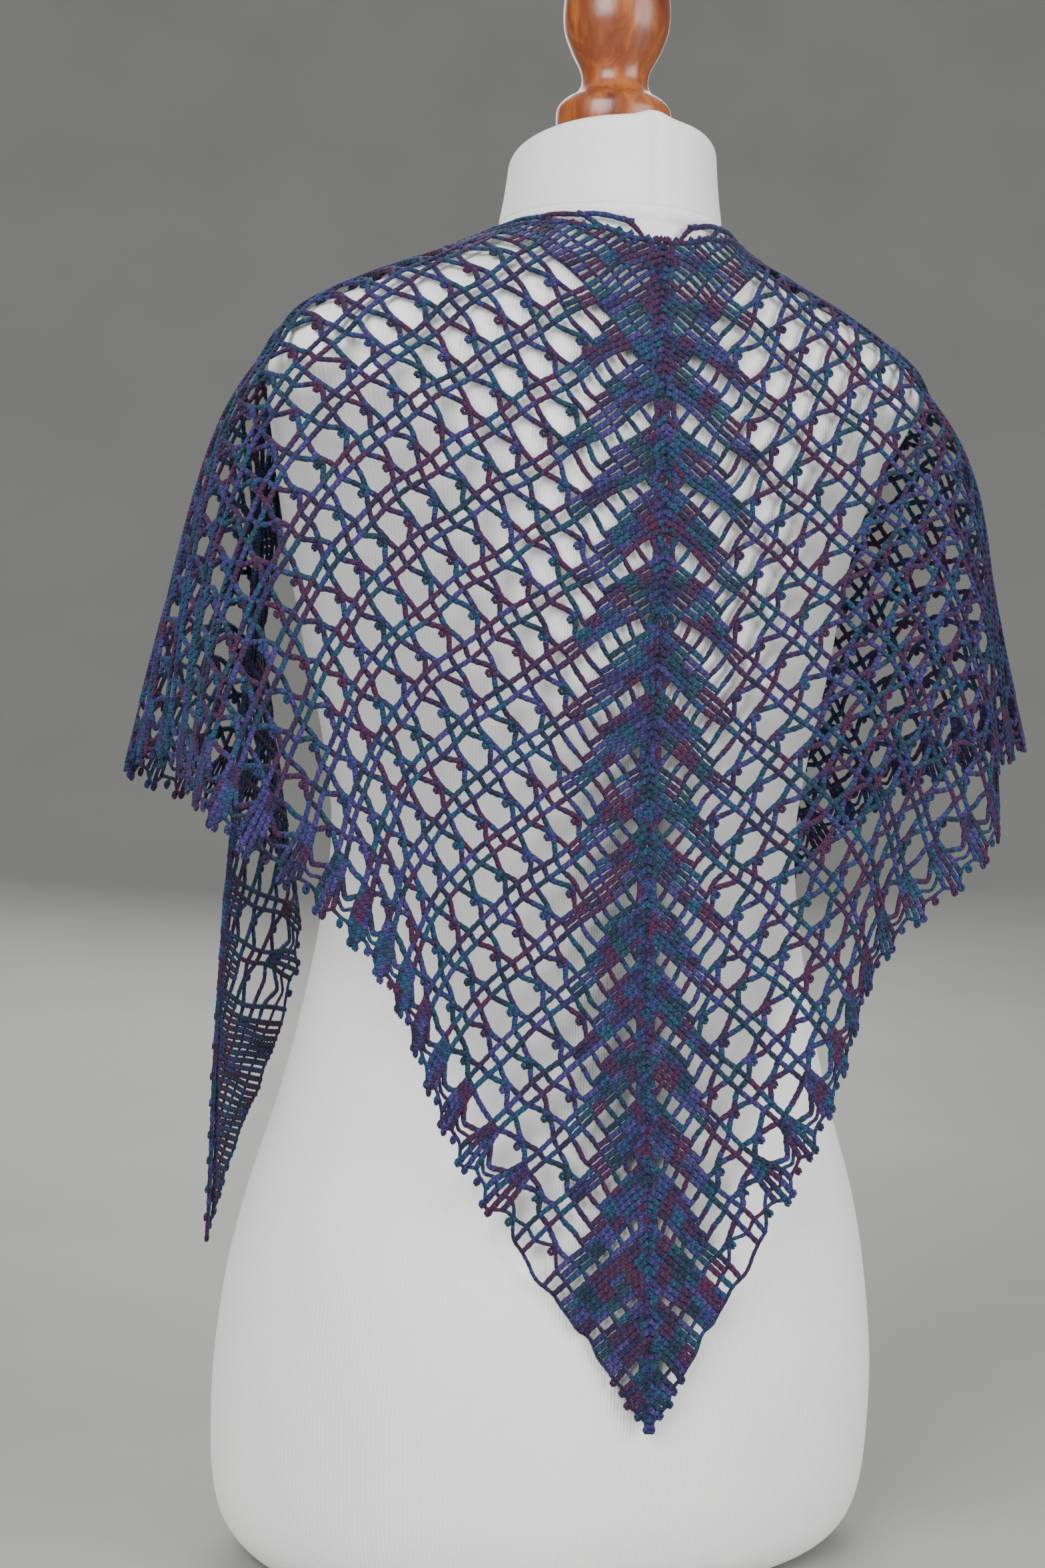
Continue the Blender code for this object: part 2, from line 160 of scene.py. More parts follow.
def fallen(across, down, side):
    """Where a point of the flat wing lies: across from the spine and down from the nape."""
    cos_slope, sin_slope = math.cos(RIDGE_SLOPE), math.sin(RIDGE_SLOPE)
    along = across * cos_slope + (down + NAPE_DROP) * sin_slope
    off = (down + NAPE_DROP) * cos_slope - across * sin_slope
    ridge_length = RIDGE_END_X / cos_slope
    past = np.maximum(along - ridge_length, 0.0)
    reach = np.hypot(past, off)
    turn = np.degrees(np.arctan2(off, past))
    azimuth = np.radians(flute_at(side, turn, "azimuth"))
    out = flute_at(side, turn, "out")
    back = flute_at(side, turn, "back")
    middle = ease(-45.0, 5.0, turn) * (1 - ease(35.0, 80.0, turn))
    reach = reach * (1 + SIDE_STRETCH[side] * middle * ease(0.0, 0.05, past))
    drop = np.sqrt(np.maximum(1 - out ** 2 - back ** 2, 0.05))
    fall = np.stack([out, back, -drop], -1)
    away = np.stack([np.sin(azimuth), np.cos(azimuth), np.zeros_like(azimuth)], -1)
    round_turn = np.minimum(reach / RIDGE_ROUND, PI / 2)
    beyond = np.maximum(reach - RIDGE_ROUND * PI / 2, 0.0)
    held = np.minimum(along, ridge_length)
    start = np.stack([held * cos_slope, np.full_like(held, RIDGE_Y),
                      RIDGE_TOP - held * sin_slope], -1)
    rounding = (RIDGE_ROUND * (1 - np.cos(round_turn)) + beyond)[..., None] * fall
    point = start + (RIDGE_ROUND * np.sin(round_turn))[..., None] * away + rounding
    drawn_in = (1 - ease(0.0, 0.13, across))
    point[..., 0] -= drawn_in * (point[..., 0] - across)
    is_back = ease(20.0, 60.0, turn)
    pull = np.interp(across, column(GATHERS, "across"), column(GATHERS, side))
    point[..., 0] -= is_back * pull * ease(GATHER_START, GATHER_FULL, point[..., 2])
    stand = BACK_STAND * ease(0.66, 0.58, point[..., 2])
    stand += BACK_LEAN * np.maximum(0.60 - point[..., 2], 0.0)
    point[..., 1] += is_back * stand
    is_front = 1 - ease(-60.0, -15.0, turn)
    over_chest = ease(0.66, 0.56, point[..., 2]) * ease(0.20, 0.12, point[..., 0])
    point[..., 1] -= is_front * CHEST_STAND * over_chest
    return point


def fold_height(x, z):
    """How far the soft upright folds stand out of the back, fading upward."""
    total = np.zeros_like(x)
    for fold in BACK_FOLDS:
        across = np.exp(-((x - fold.x) / fold.half_width) ** 2)
        total += fold.height * across * ease(fold.top_z, fold.top_z - FOLD_FADE, z)
    return total


def smoothed(grid, passes):
    """Each pass moves a corner halfway to the mean of its neighbours."""
    for _ in range(passes):
        inner = grid.copy()
        inner[1:-1] += 0.25 * (grid[:-2] - 2 * grid[1:-1] + grid[2:])
        inner[:, 1:-1] += 0.25 * (grid[:, :-2] - 2 * grid[:, 1:-1] + grid[:, 2:])
        grid = inner
    return grid


def push_clear(grid, surface, clearance):
    """Corners nearer to the form than the clearance are moved out to it."""
    for index in np.ndindex(grid.shape[:-1]):
        place = Vector(grid[index])
        nearest, normal, _, _ = surface.find_nearest(place)
        height = (place - nearest).dot(normal)
        if height < clearance:
            grid[index] = place + normal * (clearance - height)
    return grid


def form_surface():
    """The form's skin, torso and neck as one, without the flat faces where they meet."""
    bm = bmesh.new()
    for name in ("torso", "neck_cap"):
        bm.from_mesh(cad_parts[name].data)
    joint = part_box("torso")[1].z
    bm.normal_update()
    flat = [face for face in bm.faces
            if abs(face.normal.z) > 0.999 and abs(face.calc_center_median().z - joint) < 0.002]
    bmesh.ops.delete(bm, geom=flat, context="FACES_ONLY")
    surface = BVHTree.FromBMesh(bm)
    bm.free()
    return surface


def draped_net(surface):
    """The flat plan on an even net, draped: the net's places across and down, and where
    each pair of them lies in the worn shawl."""
    reach, above, below = FLAT_REACH
    across = np.arange(-round(reach / FLAT_STEP), round(reach / FLAT_STEP) + 1) * FLAT_STEP
    down = np.arange(round(above / FLAT_STEP), round(below / FLAT_STEP) + 1) * FLAT_STEP
    flat_across, flat_down = np.meshgrid(across, down, indexing="ij")
    left = fallen(flat_across, flat_down, "left")
    right = fallen(-flat_across, flat_down, "right")
    right[..., 0] *= -1
    net = np.where((flat_across > 0)[..., None], left, right)
    on_back = ease(0.02, 0.08, net[..., 1])
    net[..., 1] += on_back * fold_height(net[..., 0], net[..., 2])
    net = smoothed(net, SMOOTH_PASSES)
    for _ in range(CLEAR_PASSES):
        net = smoothed(push_clear(net, surface, CLEARANCE), 1)
    return across, down, push_clear(net, surface, CLEARANCE)


def on_net(net, across, down):
    """Places in the worn shawl of flat points, read smoothly from the draped net."""
    across_places, down_places, points = net
    cells = []
    for at, places in ((across, across_places), (down, down_places)):
        steps = (at - places[0]) / FLAT_STEP
        first = np.clip(np.floor(steps).astype(int), 1, len(places) - 3)
        share = steps - first
        weights = (
            0.5 * (-share + 2 * share ** 2 - share ** 3),
            0.5 * (2 - 5 * share ** 2 + 3 * share ** 3),
            0.5 * (share + 4 * share ** 2 - 3 * share ** 3),
            0.5 * (share ** 3 - share ** 2),
        )
        cells.append((first, weights))
    total = 0.0
    for i in range(4):
        for j in range(4):
            weight = cells[0][1][i] * cells[1][1][j]
            corner = points[cells[0][0] - 1 + i, cells[1][0] - 1 + j]
            total = total + weight[..., None] * corner
    return total


# --------------------------------------------------------------------------------------
# The crochet chart: rows grow outward from the nape, stitches run along each row
# --------------------------------------------------------------------------------------
ROWS = 43
ROW_PITCH = GROWTH / ROWS
STITCH = 0.00334
REPEAT = 8  # stitches in one repeat: a filet column, then an eyelet column
FILET = 2  # stitches across the filet column
BLOCK = 5  # the last stitch of the solid steps beside the spine
FIRST_STITCH = 4  # shifts the repeats along the row
NAPE_ROWS = 6
STEP_ROWS = 7  # rows of a step at its tall side, one fewer at each stitch across
BAND_ROWS = 3  # solid rows along the top edge
TIP_ROWS = 8
HEM_ROWS = 3
FAN_SPREAD = 0.0034
KNOT_RISE = (0.0040, 0.0010, -0.0035)  # the last rows' pull toward the knot between fans
KNOT_AT = 0.52
EDGE_INSET = 0.0016
EDGE_LOOP = 0.0066  # width of the holes along the top edge
SPINE_INSET = 0.0017
EYELET_TOUCH = 0.42  # where an eyelet's chain is caught to the bar before it
TOUCH_RISE = 0.0021
BAR_BOW = 0.0016

# Strand sizes: half width across the cloth and half thickness
CHAIN = (0.00148, 0.00102)
POST = (0.00144, 0.00098)
SOLID_POST = (0.00164, 0.00047)
SOLID_ROW = (0.00098, 0.00074)
PICOT = (0.00108, 0.00092)
PICOT_RING = 0.00125
STEP = 0.00130  # spacing of a strand's rings
SIDES = 5
BEAD = 0.0039  # length of one chain stitch
BEAD_SWELL = 0.10
WAVER = 0.0007  # how far the stitches stray from the plan

TAN_SPINE = math.tan(SPINE_ANGLE)
TAN_EDGE = math.tan(EDGE_ANGLE)
rng = np.random.default_rng(7)

Strand = namedtuple("Strand", "flat size row side height")
strands = []


def to_plan(growth, along):
    """Across from the spine and down from the nape, of growth and place along the row."""
    across = growth * math.sin(SPINE_ANGLE) + along * math.cos(SPINE_ANGLE)
    down = growth * math.cos(SPINE_ANGLE) - along * math.sin(SPINE_ANGLE)
    return across, down


def to_rows(across, down):
    growth = across * math.sin(SPINE_ANGLE) + down * math.cos(SPINE_ANGLE)
    along = across * math.cos(SPINE_ANGLE) - down * math.sin(SPINE_ANGLE)
    return growth, along


def stitch_place(stitch):
    return (stitch + FIRST_STITCH) * STITCH


def start_growth(along):
    """The growth at which the wing begins at some place along the row."""
    if along < 0:
        return -along / TAN_SPINE
    return (along + EDGE_LOOP / math.cos(EDGE_ANGLE)) / TAN_EDGE


def is_solid(row, stitch):
    """Whether the chart has a treble stitch here, rather than open mesh."""
    along = stitch_place(stitch)
    if row * ROW_PITCH <= start_growth(along):
        return False
    if row <= NAPE_ROWS:
        return True
    place = stitch % REPEAT
    base = stitch - place
    if along < 0:
        if -along / TAN_SPINE > GROWTH - TIP_ROWS * ROW_PITCH:
            return place <= BLOCK + 1
        first = math.ceil(max(-stitch_place(base), 0.0) / TAN_SPINE / ROW_PITCH)
        return place <= BLOCK and row <= first + STEP_ROWS - place
    first = math.ceil(start_growth(along) / ROW_PITCH)
    if start_growth(along) > GROWTH - TIP_ROWS * ROW_PITCH:
        return True
    return row <= first + (BAND_ROWS if place <= BLOCK else 1)


def wander(growth, along):
    """The small strays of hand work: smooth, and never twice the same."""
    shift = np.zeros((2,) + np.shape(growth))
    for k, (wave, angle, phase) in enumerate(WAVES):
        swing = np.sin((growth * math.cos(angle) + along * math.sin(angle)) * wave + phase)
        shift[k % 2] += swing
    return shift * WAVER / 2


WAVES = [(2 * PI / rng.uniform(0.014, 0.060), rng.uniform(0, PI), rng.uniform(0, 2 * PI))
         for _ in range(12)]


def rounded(points, tension=0.5):
    """Points along a smooth curve through the given ones, one strand step apart."""
    points = np.asarray(points, float)
    if len(points) < 2:
        return points
    padded = np.vstack([2 * points[0] - points[1], points, 2 * points[-1] - points[-2]])
    run = []
    for a, b, c, d in zip(padded, padded[1:], padded[2:], padded[3:]):
        length = np.linalg.norm((c - b)[:2])
        count = max(int(math.ceil(length / STEP)), 1)
        t = (np.arange(count) / count)[:, None]
        m0, m1 = tension * (c - a), tension * (d - b)
        run.append((2 * t ** 3 - 3 * t ** 2 + 1) * b + (t ** 3 - 2 * t ** 2 + t) * m0
                   + (-2 * t ** 3 + 3 * t ** 2) * c + (t ** 3 - t ** 2) * m1)
    run.append(points[-1:])
    return np.vstack(run)


def lay(points, size, row, side, height=0.0):
    """Adds a strand through points of growth and place along the row."""
    flat = rounded(points)
    if len(flat) < 3:
        return
    flat = flat + wander(flat[:, 0], flat[:, 1]).T
    rows = np.full(len(flat), row) if row is not None else np.ceil(flat[:, 0] / ROW_PITCH)
    strands.append(Strand(flat, size, rows, side, height))


def picot(growth, along, row, side, height=0.0006):
    """A three-chain picot drawn up to a small ring."""
    turns = np.linspace(0, 2 * PI, 9)
    ring = np.stack([growth + PICOT_RING * np.cos(turns), along + PICOT_RING * np.sin(turns)], 1)
    shift = wander(np.array(growth), np.array(along))
    strands.append(Strand(ring + shift.T, PICOT, np.full(9, row), side, height))


def row_is_open(row, base):
    """Whether the eyelet column of a repeat is open on both sides of this row."""
    inner = range(base + FILET + 1, base + REPEAT)
    return not any(is_solid(row, s) or is_solid(row + 1, s) for s in inner)


def hem_is_open(base):
    return (not is_solid(ROWS - HEM_ROWS, base) and not is_solid(ROWS - HEM_ROWS, base + FILET)
            and start_growth(stitch_place(base)) < GROWTH - TIP_ROWS * ROW_PITCH
            and start_growth(stitch_place(base + REPEAT)) < GROWTH - TIP_ROWS * ROW_PITCH)


def row_points(row, side):
    """A row's line from the spine to the top edge, and the picots on it."""
    growth = row * ROW_PITCH
    low, high = -growth * TAN_SPINE, growth * TAN_EDGE
    first = math.floor(low / STITCH - FIRST_STITCH)
    first -= first % REPEAT
    points = []
    for base in range(first, math.ceil(high / STITCH) + 1, REPEAT):
        here, mid, there = (stitch_place(base), stitch_place(base + FILET),
                            stitch_place(base + REPEAT))
        in_hem = row > ROWS - HEM_ROWS and hem_is_open(base)
        if in_hem:
            hem_row = row - (ROWS - HEM_ROWS)
            spread = FAN_SPREAD * hem_row / HEM_ROWS
            rise = 0.0012 * hem_row
            points.append((growth - rise, here - spread))
            points.append((growth + 0.3 * rise, (here + mid) / 2))
            points.append((growth - rise, mid + spread))
            knot = mid + (there - mid) * KNOT_AT
            points.append((growth + KNOT_RISE[hem_row - 1], knot))
            if hem_row == HEM_ROWS:
                picot(growth + KNOT_RISE[-1] + 0.0022, knot, row, side)
                for place in (here + 0.0006, mid - 0.0006):
                    picot(growth + 0.0016, place, row, side)
            continue
        points.append((growth, here))
        if row_is_open(row, base) and low < mid and there < high:
            parity = (row + base // REPEAT) % 2
            if parity:
                touch = mid + (there - mid) * EYELET_TOUCH
                points.append((growth - 0.0006, mid))
                points.append((growth - ROW_PITCH + TOUCH_RISE + 0.0006, touch - 0.0012))
                points.append((growth - ROW_PITCH + TOUCH_RISE + 0.0004, touch + 0.0016))
                picot(growth - ROW_PITCH + TOUCH_RISE + 0.0026, touch, row, side, 0.0009)
            else:
                points.append((growth, mid))
                points.append((growth + BAR_BOW, mid + (there - mid) * EYELET_TOUCH))
        else:
            points.append((growth, mid))
            if not any(is_solid(row, base + s) for s in (FILET + 1, BLOCK)):
                continue
            points.append((growth, stitch_place(base + BLOCK)))
    points = [p for p in points if low + 0.0016 < p[1] < high - 0.0016]
    return [(growth, low + SPINE_INSET), *points, (growth, high - EDGE_INSET)]


def lay_rows(side):
    for row in range(1, ROWS + 1):
        flat = rounded(row_points(row, side), 0.36)
        stitches = np.round(flat[:, 1] / STITCH - FIRST_STITCH).astype(int)
        solid = np.array([is_solid(row, int(s)) or row >= ROWS - 1 for s in stitches], float)
        solid = np.convolve(np.pad(solid, 2, mode="edge"), np.full(5, 0.2), "valid")
        size = np.array(CHAIN) + (np.array(SOLID_ROW) - np.array(CHAIN)) * solid[:, None]
        flat = flat + wander(flat[:, 0], flat[:, 1]).T
        strands.append(Strand(flat, size, np.full(len(flat), row), side, 0.0004))


def lay_posts(side):
    """The upright stitches: runs of rows at one stitch, solid or filet."""
    span = GROWTH * (TAN_SPINE + TAN_EDGE) / STITCH
    low = math.floor(-GROWTH * TAN_SPINE / STITCH - FIRST_STITCH) - 1
    for stitch in range(low, low + math.ceil(span) + 2):
        along = stitch_place(stitch)
        place = stitch % REPEAT
        start = start_growth(along)
        base = stitch - place
        top = ROWS - HEM_ROWS if hem_is_open(base) else ROWS
        run = []
        for row in range(math.ceil(start / ROW_PITCH), top + 2):
            solid = row <= top and is_solid(row, stitch)
            mesh = row <= top and place in (0, FILET) and row * ROW_PITCH > start
            if solid or mesh:
                run.append((row, solid))
                continue
            add_run(run, along, start, side)
            run = []


def add_run(run, along, start, side):
    if not run:
        return
    first = max(start, (run[0][0] - 1) * ROW_PITCH)
    points = [(first, along)]
    for row, solid in run:
        growth = row * ROW_PITCH
        if growth - points[-1][0] > 0.002:
            points.append(((points[-1][0] + growth) / 2, along))
            points.append((growth, along))
    solid_share = sum(solid for _, solid in run)
    solid_end = (run[0][0] - 1 + solid_share) * ROW_PITCH
    if len(points) < 3:
        return
    flat = rounded(points, 0.5)
    flat = flat + wander(flat[:, 0], flat[:, 1]).T
    if len(flat) < 3:
        return
    thick = ease(solid_end + 0.003, solid_end - 0.003, flat[:, 0])[:, None]
    size = np.array(POST) + (np.array(SOLID_POST) - np.array(POST)) * thick
    size[:, 0] += rng.uniform(-0.00012, 0.00008)
    size *= 1 - 0.12 * ease(0.044, 0.036, flat[:, :1])
    rows = np.ceil(flat[:, 0] / ROW_PITCH)
    strands.append(Strand(flat, size, rows, side, -0.0002))


def lay_fans(side):
    """The fan of treble stitches at the foot of each filet column."""
    low = math.floor(-GROWTH * TAN_SPINE / STITCH - FIRST_STITCH)
    low -= low % REPEAT
    high = math.ceil(GROWTH * TAN_EDGE / STITCH)
    for base in range(low, high, REPEAT):
        if not hem_is_open(base):
            continue
        here, mid = stitch_place(base), stitch_place(base + FILET)
        if here < -GROWTH * TAN_SPINE or mid > GROWTH * TAN_EDGE:
            continue
        foot = (ROWS - HEM_ROWS) * ROW_PITCH
        for share in np.linspace(0, 1, FILET + 2):
            bottom = here + (mid - here) * share
            top = (here - FAN_SPREAD) + (mid - here + 2 * FAN_SPREAD) * share
            dip = 0.0034 * (2 * share - 1) ** 2
            points = [(foot, bottom), (foot + ROW_PITCH, bottom + (top - bottom) * 0.4),
                      (foot + 2 * ROW_PITCH, bottom + (top - bottom) * 0.8),
                      (GROWTH - dip, top)]
            lay(points, SOLID_POST, None, side, height=-0.0002)


def lay_edges(side):
    """The paired lines of the spine, and the line and holes of the top edge."""
    depth = GROWTH / math.cos(SPINE_ANGLE)
    down = np.arange(0.004, depth, STEP)
    beat = down * math.cos(SPINE_ANGLE) / ROW_PITCH
    opened = 0.0006 + 0.0009 * ease(0.30, 0.05, down)
    across = SPINE_INSET - 0.0004 + opened * np.maximum(np.sin(2 * PI * beat), -0.2)
    growth, along = to_rows(across, down)
    flat = np.stack([growth, along], 1)
    strands.append(Strand(flat, SOLID_POST, np.round(beat), side, 0.0005))
    across = across + 0.0030
    growth, along = to_rows(across, down)
    flat = np.stack([growth, along], 1)[growth < GROWTH - 0.002]
    strands.append(Strand(flat, SOLID_POST, np.round(beat)[:len(flat)] + 0.5, side, 0.0))
    growth = np.arange(0.006, GROWTH, STEP * math.cos(EDGE_ANGLE))
    wave = 0.5 - 0.5 * np.cos(2 * PI * growth / ROW_PITCH)
    for inset, bow, row in ((EDGE_INSET, -0.0010, 0.3), (EDGE_LOOP + 0.0012, 0.0012, 0.6)):
        along = growth * TAN_EDGE - (inset + bow * wave) / math.cos(EDGE_ANGLE)
        flat = np.stack([growth, along], 1)
        flat = flat[flat[:, 1] > -flat[:, 0] * TAN_SPINE + 0.004]
        rows = np.floor(flat[:, 0] / ROW_PITCH) + row
        strands.append(Strand(flat, CHAIN, rows, side, 0.0))


def lay_tips(side):
    """Picots at the row ends of the shawl's points, and two at the very tip."""
    for row in range(ROWS - TIP_ROWS, ROWS + 1):
        growth = row * ROW_PITCH
        if row < ROWS:
            picot(growth - 0.001, growth * TAN_EDGE + 0.0002, row, side)
    base_along = -GROWTH * TAN_SPINE
    for step in range(0, 5):
        picot(GROWTH + 0.0012, base_along + 0.003 + step * 2.2 * STITCH, ROWS, side)
    for step in range(0, 6):
        picot(GROWTH + 0.0012, GROWTH * TAN_EDGE - 0.003 - step * 2.2 * STITCH, ROWS, side)


# --------------------------------------------------------------------------------------
# Strands into meshes
# --------------------------------------------------------------------------------------
STRETCHES = ("neck_start", "back_wing", "side_flute", "front_tail",
             "hem_edging_back", "hem_edging_side", "hem_edging_front")


def stretch_of(growth, along):
    """Which stretch of the shawl a flat point is in, as an index into STRETCHES."""
    across, down = to_plan(growth, along)
    angle = np.arctan2(across, down)
    third = (angle > BACK_END).astype(int) + (angle > SIDE_END)
    index = 1 + third + 3 * (growth > EDGING_SHARE * GROWTH)
    return np.where(growth < NECK_SHARE * GROWTH, 0, index)


def cut_runs(labels):
    """Index pairs of the runs of equal labels, each with the next run's first point."""
    ends = np.flatnonzero(np.diff(labels)) + 1
    starts = np.concatenate([[0], ends])
    stops = np.concatenate([ends, [len(labels)]])
    return [(a, min(b + 1, len(labels))) for a, b in zip(starts, stops)]


def carried(net, flat, side, height):
    """Worn places and outward directions of flat points of one wing."""
    across, down = to_plan(flat[:, 0], flat[:, 1])
    across = across * side
    near = 0.0015
    point = on_net(net, across, down)
    by_across = on_net(net, across + near, down) - on_net(net, across - near, down)
    by_down = on_net(net, across, down + near) - on_net(net, across, down - near)
    outward = np.cross(by_down, by_across)
    outward /= np.linalg.norm(outward, axis=1, keepdims=True)
    return point + outward * height, outward


def tube_mesh(name, runs):
    """One mesh of closed tubes, with yarn coordinates for the material: along and round
    the strand, and the dye's place along the row and from row to row."""
    centres = np.concatenate([run["centre"] for run in runs])
    outward = np.concatenate([run["outward"] for run in runs])
    tangent = np.concatenate([np.gradient(run["centre"], axis=0) for run in runs])
    sizes = np.concatenate([run["size"] for run in runs])
    length = np.concatenate([run["length"] for run in runs])
    dye = np.concatenate([run["dye"] for run in runs])
    counts = np.array([len(run["centre"]) for run in runs])
    tangent /= np.linalg.norm(tangent, axis=1, keepdims=True) + 1e-12
    across = np.cross(outward, tangent)
    across /= np.linalg.norm(across, axis=1, keepdims=True) + 1e-12
    normal = np.cross(tangent, across)
    turns = 2 * PI * np.arange(SIDES) / SIDES
    ring = (np.cos(turns)[None, :, None] * (normal * sizes[:, 1:])[:, None]
            + np.sin(turns)[None, :, None] * (across * sizes[:, :1])[:, None])
    points = (centres[:, None] + ring).reshape(-1, 3)
    firsts = np.concatenate([[0], np.cumsum(counts)[:-1]])
    is_last = np.zeros(len(centres), bool)
    is_last[firsts + counts - 1] = True
    rows = np.flatnonzero(~is_last)
    side = np.arange(SIDES)
    after = (side + 1) % SIDES
    near, far = rows[:, None] * SIDES, (rows[:, None] + 1) * SIDES
    quads = np.stack([near + side, near + after, far + after, far + side], -1).reshape(-1, 4)
    front = (firsts[:, None] * SIDES + side[::-1])
    back = ((firsts + counts - 1)[:, None] * SIDES + side)
    loops = np.concatenate([quads.ravel(), front.ravel(), back.ravel()])
    totals = np.concatenate([np.full(len(quads), 4), np.full(2 * len(firsts), SIDES)])
    mesh = bpy.data.meshes.new(name)
    mesh.vertices.add(len(points))
    mesh.vertices.foreach_set("co", points.astype(np.float32).ravel())
    mesh.loops.add(len(loops))
    mesh.loops.foreach_set("vertex_index", loops.astype(np.int32))
    mesh.polygons.add(len(totals))
    starts = np.concatenate([[0], np.cumsum(totals)[:-1]])
    mesh.polygons.foreach_set("loop_start", starts.astype(np.int32))
    mesh.polygons.foreach_set("loop_total", totals.astype(np.int32))
    mesh.update(calc_edges=True)
    around = np.tile([0, 1, 1, 0], len(quads))
    which = loops % SIDES / SIDES
    quad_side = np.repeat(np.tile(side, len(rows)), 4)
    turn = np.concatenate([(quad_side + around) / SIDES,
                           which[4 * len(quads):]])
    ring_of = loops // SIDES
    for uv_name, first, second in (("yarn", length[ring_of] / BEAD, turn),
                                   ("dye", dye[ring_of, 0], dye[ring_of, 1])):
        layer = mesh.uv_layers.new(name=uv_name)
        layer.data.foreach_set("uv", np.stack([first, second], 1).astype(np.float32).ravel())
    mesh.shade_smooth()
    mesh.validate()
    return mesh


def lace_pieces(surface, finish):
    """Every stretch of the shawl as one piece of joined strands."""
    for side in (1, -1):
        lay_rows(side)
        lay_posts(side)
        lay_fans(side)
        lay_edges(side)
        lay_tips(side)
    net = draped_net(surface)
    lengths = [len(strand.flat) for strand in strands]
    flat = np.concatenate([strand.flat for strand in strands])
    sides = np.concatenate([np.full(n, strand.side) for n, strand in zip(lengths, strands)])
    heights = np.concatenate([np.full(n, strand.height) for n, strand in zip(lengths, strands)])
    places, outward = carried(net, flat, sides, heights[:, None])
    groups = {}
    at = 0
    for count, strand in zip(lengths, strands):
        centre, facing = places[at:at + count], outward[at:at + count]
        at += count
        size = np.broadcast_to(np.atleast_2d(strand.size), (count, 2)).copy()
        stepped = np.linalg.norm(np.diff(centre, axis=0), axis=1)
        length = np.concatenate([[0], np.cumsum(stepped)]) + rng.uniform(0, 1)
        size *= (1 + BEAD_SWELL * np.cos(2 * PI * length / BEAD))[:, None]
        dye = np.stack([strand.flat[:, 1], strand.row + 100 * (strand.side > 0)], 1)
        labels = stretch_of(strand.flat[:, 0], strand.flat[:, 1])
        for first, stop in cut_runs(labels):
            if stop - first < 3:
                continue
            label = STRETCHES[labels[first]]
            if label != "neck_start":
                label += "_left" if strand.side > 0 else "_right"
            groups.setdefault(label, []).append(dict(
                centre=centre[first:stop], outward=facing[first:stop], size=size[first:stop],
                length=length[first:stop], dye=dye[first:stop]))
    made = {}
    for label in sorted(groups):
        mesh = tube_mesh(label + "_lace", groups[label])
        mesh.materials.append(finish)
        piece = bpy.data.objects.new(label + "_lace", mesh)
        bpy.context.scene.collection.objects.link(piece)
        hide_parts(label)
        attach(piece, "root")
        made[label] = piece
    return made


# --------------------------------------------------------------------------------------
# The dress form
# --------------------------------------------------------------------------------------
def node_material(name):
    made = bpy.data.materials.new(name)
    made.use_nodes = True
    tree = made.node_tree
    tree.nodes.clear()
    shader = tree.nodes.new("ShaderNodeBsdfPrincipled")
    output = tree.nodes.new("ShaderNodeOutputMaterial")
    tree.links.new(shader.outputs[0], output.inputs[0])
    return made, tree, shader


def add_node(tree, kind, inputs=None, **settings):
    node = tree.nodes.new("ShaderNode" + kind)
    for key, value in settings.items():
        setattr(node, key, value)
    for key, value in (inputs or {}).items():
        if isinstance(value, bpy.types.NodeSocket):
            tree.links.new(value, node.inputs[key])
        else:
            node.inputs[key].default_value = value
    return node


def maths(tree, operation, *values):
    return add_node(tree, "Math", dict(enumerate(values)), operation=operation).outputs[0]


def ramp(tree, factor, stops, smooth=True):
    node = add_node(tree, "ValToRGB", {0: factor})
    node.color_ramp.interpolation = "EASE" if smooth else "LINEAR"
    elements = node.color_ramp.elements
    elements[0].position, elements[0].color = stops[0][0], (*stops[0][1], 1)
    elements[1].position, elements[1].color = stops[-1][0], (*stops[-1][1], 1)
    for place, colour in stops[1:-1]:
        elements.new(place).color = (*colour, 1)
    return node.outputs[0]


def mixed(tree, kind, factor, first, second):
    node = add_node(tree, "Mix", data_type="RGBA", blend_type=kind, clamp_result=False)
    for index, value in ((0, factor), (6, first), (7, second)):
        if isinstance(value, bpy.types.NodeSocket):
            tree.links.new(value, node.inputs[index])
        else:
            node.inputs[index].default_value = value
    return node.outputs[2]


def bump(tree, shader, heights):
    """Several heights, each with its own depth in metres, as one chain of bumps."""
    normal = None
    for height, depth in heights:
        node = add_node(tree, "Bump", {"Height": height, "Distance": depth, "Strength": 1.0})
        if normal is not None:
            tree.links.new(normal, node.inputs["Normal"])
        normal = node.outputs[0]
    tree.links.new(normal, shader.inputs["Normal"])


YARN_DYES = (
    (0.00, (0.045, 0.003, 0.022)),
    (0.35, (0.050, 0.004, 0.038)),
    (0.43, (0.036, 0.005, 0.046)),
    (0.46, (0.008, 0.005, 0.032)),
    (0.49, (0.018, 0.013, 0.085)),
    (0.51, (0.042, 0.026, 0.145)),
    (0.53, (0.010, 0.022, 0.105)),
    (0.555, (0.004, 0.050, 0.100)),
    (0.61, (0.002, 0.008, 0.030)),
    (0.66, (0.002, 0.040, 0.062)),
    (1.00, (0.036, 0.006, 0.055)),
)


